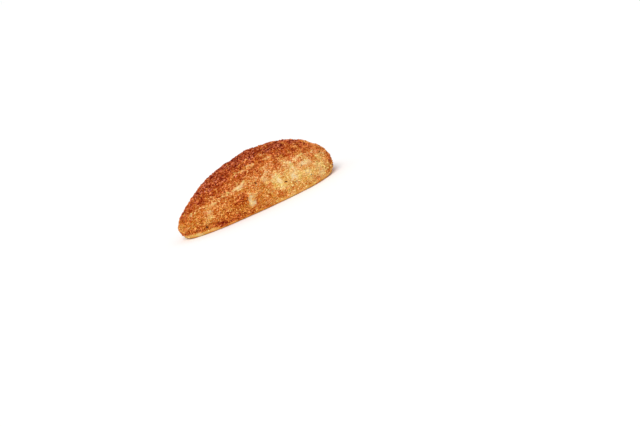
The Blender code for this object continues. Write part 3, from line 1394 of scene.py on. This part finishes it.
@dataclass(frozen=True)
class ToastingGroup:
    """Shared colouring: from pale dough through gold to dark brown, as the baking went.

    Each noise has a scale in cells a metre and a detail.
    """

    name: str = "toasting"
    stops: tuple[tuple[float, Colour], ...] = (
        (0.00, (0.86, 0.60, 0.26, 1.0)),
        (0.24, (0.79, 0.435, 0.150, 1.0)),
        (0.44, (0.73, 0.280, 0.055, 1.0)),
        (0.62, (0.60, 0.145, 0.018, 1.0)),
        (0.80, (0.40, 0.057, 0.005, 1.0)),
        (1.00, (0.25, 0.031, 0.002, 1.0)),
    )
    tint_red: Colour = (1.03, 0.94, 0.98, 1.0)
    tint_gold: Colour = (0.96, 1.04, 0.88, 1.0)
    tint_low: Colour = (1.04, 1.00, 0.85, 1.0)
    tint_high: Colour = (1.03, 0.985, 1.06, 1.0)
    tint_run: Span = (0.012, 0.028)
    tint_noise: Span = (190.0, 2.0)
    tint_contrast: float = 4.2
    tint_until: float = 1.02
    shade_span: float = 0.208
    brown_span: float = 0.73
    brown_drop: float = 0.270
    brown_from: float = 0.45
    eye_gamma: float = 2.2
    eye_steps: Place = (1.0, 1.0, 1.1)
    dough_light: Colour = (0.93, 0.79, 0.53, 1.0)
    dough_warm: Colour = (0.84, 0.60, 0.27, 1.0)
    mottle_noise: Span = (1900.0, 3.0)
    dough_noise: Span = (420.0, 2.0)

    def build(self) -> NodeTree:
        """Make the group.

        Returns:
            The node group: Browning, Bareness, Shade and Mottle in, Color out.
        """
        given = ("Browning", "Bareness", "Shade", "Mottle")
        bench = GroupBench(self.name, given, "Color", "NodeSocketColor")
        place = bench.place()
        speckle = bench.maths("SUBTRACT", bench.noise(place, *self.mottle_noise), 0.5)
        shift = bench.maths("MULTIPLY", speckle, bench.given["Mottle"])
        browned = bench.maths("ADD", bench.given["Browning"], shift, clamp=True)
        tinted = bench.mix(1.0, self.ladder(bench, browned), self.tint(bench, place, browned), "MULTIPLY")
        crusty = bench.mix(1.0, tinted, self.zone(bench, place), "MULTIPLY")
        dough = bench.mix(bench.noise(place, *self.dough_noise), self.dough_light, self.dough_warm)
        colour = bench.mix(bench.given["Bareness"], crusty, dough)
        extra = bench.maths("SUBTRACT", browned, self.brown_from, clamp=True)
        span = bench.maths("ADD", bench.maths("MULTIPLY", extra, self.brown_span), self.shade_span)
        risen = bench.maths("MULTIPLY", bench.given["Shade"], span)
        drop = bench.maths("ADD", bench.maths("MULTIPLY", extra, self.brown_drop), 0.5 * self.shade_span)
        bench.join(self.lightened(bench, colour, bench.maths("SUBTRACT", risen, drop)), bench.result)
        return bench.tree

    def ladder(self, bench: NodeBench, browned: Socket) -> Socket:
        """Add the crust's colours at each stage of browning.

        Args:
            bench: the node tree to work on.
            browned: the browning.

        Returns:
            The colour.
        """
        colours = bench.node("ShaderNodeValToRGB")
        elements = colours.color_ramp.elements
        while len(elements) < len(self.stops):
            elements.new(0.5)
        for element, (position, colour) in zip(elements, self.stops):
            element.position = position
            element.color = colour
        bench.join(browned, colours.inputs["Fac"])
        return colours.outputs["Color"]

    def tint(self, bench: NodeBench, place: Socket, browned: Socket) -> Socket:
        """Add a slow drift of hue between reddish and golden, weaker where it is brown.

        Args:
            bench: the node tree to work on.
            place: the place on the object.
            browned: the browning.

        Returns:
            The colour to multiply with.
        """
        drift = bench.maths("SUBTRACT", bench.noise(place, *self.tint_noise), 0.5)
        left = bench.maths("SUBTRACT", self.tint_until, browned)
        strength = bench.maths("MULTIPLY", left, self.tint_contrast)
        gold = bench.maths("ADD", bench.maths("MULTIPLY", drift, strength), 0.5, clamp=True)
        return bench.mix(gold, self.tint_red, self.tint_gold)

    def zone(self, bench: NodeBench, place: Socket) -> Socket:
        """Add the change of hue from the low to the high part of the crust.

        Args:
            bench: the node tree to work on.
            place: the place on the object.

        Returns:
            The colour to multiply with.
        """
        axes = bench.node("ShaderNodeSeparateXYZ")
        bench.join(place, axes.inputs["Vector"])
        rise = bench.node("ShaderNodeMapRange", interpolation_type="SMOOTHSTEP")
        for name, value in zip(("From Min", "From Max"), self.tint_run):
            bench.join(value, rise.inputs[name])
        bench.join(axes.outputs["Z"], rise.inputs["Value"])
        return bench.mix(rise.outputs["Result"], self.tint_low, self.tint_high)

    def lightened(self, bench: NodeBench, colour: Socket, amount: Socket) -> Socket:
        """Lighten or darken a colour by nearly the same step in each channel, as the eye sees it.

        Args:
            bench: the node tree to work on.
            colour: the colour.
            amount: how far, from -1 to 1.

        Returns:
            The new colour.
        """
        seen = bench.node("ShaderNodeGamma")
        bench.join(1.0 / self.eye_gamma, seen.inputs["Gamma"])
        bench.join(colour, seen.inputs["Color"])
        channels = bench.node("ShaderNodeSeparateColor")
        bench.join(seen.outputs["Color"], channels.inputs["Color"])
        stepped = bench.node("ShaderNodeCombineColor")
        for channel, step, target in zip(channels.outputs, self.eye_steps, stepped.inputs):
            change = bench.maths("MULTIPLY", amount, step)
            bench.join(bench.maths("ADD", channel, change, clamp=True), target)
        back = bench.node("ShaderNodeGamma")
        bench.join(self.eye_gamma, back.inputs["Gamma"])
        bench.join(stepped.outputs["Color"], back.inputs["Color"])
        return back.outputs["Color"]


@dataclass(frozen=True)
class PoreGroup:
    """Shared fine relief of baked dough: pores and grit too small to model."""

    name: str = "pores"
    grit_noise: Span = (4200.0, 4.0)
    pore_scale: float = 1500.0

    def build(self) -> NodeTree:
        """Make the group.

        Returns:
            The node group: Grit and Pores in, Height out.
        """
        bench = GroupBench(self.name, ("Grit", "Pores"), "Height", "NodeSocketFloat")
        place = bench.place()
        grit = bench.maths("MULTIPLY", bench.noise(place, *self.grit_noise), bench.given["Grit"])
        cells = bench.node("ShaderNodeTexVoronoi")
        bench.join(self.pore_scale, cells.inputs["Scale"])
        bench.join(place, cells.inputs["Vector"])
        pores = bench.maths("MULTIPLY", cells.outputs["Distance"], bench.given["Pores"])
        bench.join(bench.maths("ADD", grit, pores), bench.result)
        return bench.tree


@dataclass(frozen=True)
class BakedFinish:
    """A dry baked surface that takes its colour from how each place was toasted."""

    name: str
    roughness: float
    specular: float
    mottle: float = 0.18
    grit: float = 0.9
    pores: float = 0.4
    bump_depth: float = 0.00028
    subsurface: float = 0.0
    subsurface_radius: Place = (1.0, 0.5, 0.25)
    subsurface_scale: float = 0.0012

    def material(self, toasting: NodeTree, pores: NodeTree) -> Material:
        """Make the material.

        Args:
            toasting: the shared colouring group.
            pores: the shared fine relief group.

        Returns:
            The material.
        """
        bench = FinishBench(self.name, self.roughness, self.specular)
        toast = bench.node("ShaderNodeAttribute", attribute_name=TOAST)
        parts = bench.node("ShaderNodeSeparateColor")
        bench.join(toast.outputs["Color"], parts.inputs["Color"])
        browning, bareness, shade = parts.outputs
        colour = bench.group(
            toasting, Browning=browning, Bareness=bareness, Shade=shade, Mottle=self.mottle
        )
        bench.join(colour, bench.shader["Base Color"])
        if self.subsurface > 0.0:
            bench.join(self.subsurface, bench.shader["Subsurface Weight"])
            bench.join(self.subsurface_radius, bench.shader["Subsurface Radius"])
            bench.join(self.subsurface_scale, bench.shader["Subsurface Scale"])
        if self.bump_depth > 0.0:
            bench.bump(bench.group(pores, Grit=self.grit, Pores=self.pores), self.bump_depth)
        return bench.material


@dataclass(frozen=True)
class CharredFinish:
    """Burnt crumbs: near black, with a little brown left."""

    name: str = "charred_crumb"
    black: Colour = (0.022, 0.009, 0.004, 1.0)
    brown: Colour = (0.170, 0.055, 0.012, 1.0)
    mottle_noise: Span = (1300.0, 2.0)
    roughness: float = 0.8
    specular: float = 0.1

    def material(self) -> Material:
        """Make the material.

        Returns:
            The material.
        """
        bench = FinishBench(self.name, self.roughness, self.specular)
        mottle = bench.noise(bench.place(), *self.mottle_noise)
        bench.join(bench.mix(mottle, self.black, self.brown), bench.shader["Base Color"])
        return bench.material


@dataclass(frozen=True)
class TraySideFinish:
    """The flat underside: pale dough with blotches where it lay hardest on the tray."""

    name: str = "tray_side"
    pale: Colour = (0.72, 0.44, 0.16, 1.0)
    browned: Colour = (0.42, 0.15, 0.04, 1.0)
    blotch_noise: Span = (90.0, 5.0)
    blotch_from: float = 0.42
    blotch_contrast: float = 4.0
    roughness: float = 0.7
    specular: float = 0.25
    grit: float = 0.6
    pores: float = 0.8
    bump_depth: float = 0.0003

    def material(self, pores: NodeTree) -> Material:
        """Make the material.

        Args:
            pores: the shared fine relief group.

        Returns:
            The material.
        """
        bench = FinishBench(self.name, self.roughness, self.specular)
        blotches = bench.noise(bench.place(), *self.blotch_noise)
        above = bench.maths("SUBTRACT", blotches, self.blotch_from)
        edge = bench.maths("MULTIPLY", above, self.blotch_contrast, clamp=True)
        bench.join(bench.mix(edge, self.pale, self.browned), bench.shader["Base Color"])
        bench.bump(bench.group(pores, Grit=self.grit, Pores=self.pores), self.bump_depth)
        return bench.material


@dataclass(frozen=True)
class PhotoCamera:
    """The camera at the photograph's angle, turned about its line of sight as the pie leans there."""

    name: str = "photo_camera"
    lens: float = 85.0
    sensor: float = 36.0
    clip: Span = (0.01, 100.0)
    azimuth: float = math.radians(-24.06)
    elevation: float = math.radians(12.33)
    roll: float = math.radians(-21.84)
    distance: float = 1.284
    target: Place = (-0.0007, -0.0001, 0.018)
    target_pixel: Span = (251.51, 184.41)
    image: tuple[int, int] = (640, 427)

    def build(self) -> Object:
        """Make the camera so that its target falls on its pixel.

        Returns:
            The camera object.
        """
        back = towards(self.azimuth, self.elevation)
        level = Vector((math.cos(self.azimuth), math.sin(self.azimuth), 0.0))
        upright = back.cross(level)
        right = level * math.cos(self.roll) + upright * math.sin(self.roll)
        up = upright * math.cos(self.roll) - level * math.sin(self.roll)
        focal = self.lens / self.sensor * self.image[0]
        aside = (self.target_pixel[0] - self.image[0] / 2) / focal * self.distance
        above = -(self.target_pixel[1] - self.image[1] / 2) / focal * self.distance
        eye = Vector(self.target) + back * self.distance - right * aside - up * above
        data = bpy.data.cameras.new(self.name)
        data.lens = self.lens
        data.sensor_width = self.sensor
        data.clip_start, data.clip_end = self.clip
        camera = linked(self.name, data)
        camera.matrix_world = Matrix.Translation(eye) @ Matrix((right, up, back)).transposed().to_4x4()
        bpy.context.scene.camera = camera
        return camera


@dataclass(frozen=True)
class Studio:
    """A plain pale floor and soft light from all round, with a broad key light."""

    floor_half: float = 20.0
    floor_drop: float = 0.0001
    floor_colour: Colour = (0.95, 0.95, 0.95, 1.0)
    floor_roughness: float = 0.8
    floor_specular: float = 0.1
    sky_colour: Colour = (1.0, 1.0, 1.0, 1.0)
    sky_light: float = 0.63
    sky_seen: float = 1.0
    key_strength: float = 1.96
    key_angle: float = math.radians(35.0)
    key_azimuth: float = math.radians(-38.0)
    key_elevation: float = math.radians(52.0)
    key_colour: Place = (1.0, 0.99, 0.975)

    def floor(self) -> None:
        bm = bmesh.new()
        bmesh.ops.create_grid(bm, x_segments=1, y_segments=1, size=self.floor_half)
        mesh = bpy.data.meshes.new("floor")
        bm.to_mesh(mesh)
        bm.free()
        bench = FinishBench("floor_white", self.floor_roughness, self.floor_specular)
        bench.join(self.floor_colour, bench.shader["Base Color"])
        mesh.materials.append(bench.material)
        floor = linked("floor", mesh)
        floor.location.z = -self.floor_drop

    def sky(self) -> None:
        """Make the soft white surround, which is brighter to look at than the light it gives."""
        world = bpy.data.worlds.new("studio_surround")
        world.use_nodes = True
        bpy.context.scene.world = world
        bench = NodeBench(world.node_tree)
        seen = bench.node("ShaderNodeLightPath").outputs["Is Camera Ray"]
        extra = bench.maths("MULTIPLY", seen, self.sky_seen - self.sky_light)
        background = world.node_tree.nodes["Background"].inputs
        bench.join(self.sky_colour, background["Color"])
        bench.join(bench.maths("ADD", extra, self.sky_light), background["Strength"])

    def key(self) -> None:
        """Make the broad key light."""
        data = bpy.data.lights.new("key_light", "SUN")
        data.energy = self.key_strength
        data.angle = self.key_angle
        data.color = self.key_colour
        light = linked("key_light", data)
        light.location = towards(self.key_azimuth, self.key_elevation)
        light.rotation_euler = light.location.to_track_quat("Z", "Y").to_euler()

    def build(self) -> None:
        """Set up floor, surround and key light, and show colours as they are."""
        self.floor()
        self.sky()
        self.key()
        bpy.context.scene.view_settings.view_transform = "Standard"


class CheesePie:
    """The pie: its bread, its coat of crumbs and their finishes."""

    def __init__(self) -> None:
        """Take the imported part's form and its baking."""
        self.form = BreadForm()
        self.baking = Baking()
        self.toasting = ToastingGroup().build()
        self.pores = PoreGroup().build()

    def finishes(self) -> dict[str, Material]:
        """Make the baked finishes.

        Returns:
            Each piece's material by the piece's name.
        """
        toasted = BakedFinish("toasted_crumb", roughness=0.52, specular=0.06)
        golden = BakedFinish("golden_crumb", roughness=0.55, specular=0.09, subsurface=0.06)
        pale = BakedFinish("pale_crumb", roughness=0.58, specular=0.12, subsurface=0.14)
        fine = BakedFinish("fine_crumb", roughness=0.70, specular=0.04, mottle=0.10, bump_depth=0.0)
        finishes = {
            "bread_crust": BakedFinish(
                "baked_crust",
                roughness=0.62,
                specular=0.03,
                mottle=0.20,
                pores=0.5,
                bump_depth=0.00030,
                subsurface=0.06,
            ),
            "coarse_crumbs": BakedFinish(
                "coarse_crumb", roughness=0.58, specular=0.06, mottle=0.25, bump_depth=0.00035
            ),
            CrumbKind.TOASTED.value: toasted,
            CrumbKind.GOLDEN.value: golden,
            CrumbKind.PALE.value: pale,
            CrumbKind.FINE.value: fine,
        }
        made = {name: finish.material(self.toasting, self.pores) for name, finish in finishes.items()}
        made[CrumbKind.CHARRED.value] = CharredFinish().material()
        return made

    def build(self) -> list[Object]:
        """Make every piece, dress it and let it ride on the part.

        Returns:
            The pieces.
        """
        crust, crust_skin = Crust(self.form, self.baking).build()
        coarse, coarse_skin = CoarseCrumbs(self.form, self.baking).build()
        coat = CrumbCoat().build(crust_skin, coarse_skin)
        materials = self.finishes()
        pieces = [crust, coarse, *coat.values()]
        for piece in pieces:
            piece.data.materials.append(materials[piece.name])
            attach(piece, BODY)
        crust.data.materials.append(TraySideFinish().material(self.pores))
        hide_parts(NODE)
        return pieces


def main() -> None:
    """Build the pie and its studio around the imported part."""
    logging.basicConfig(level=logging.INFO, format="%(name)s: %(message)s")
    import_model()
    for piece in CheesePie().build():
        log.info("%s: %d faces", piece.name, len(piece.data.polygons))
    Studio().build()
    camera = PhotoCamera().build()
    log.info("%s stands at %s", camera.name, [round(value, 3) for value in camera.location])


if __name__ == "__main__":
    main()
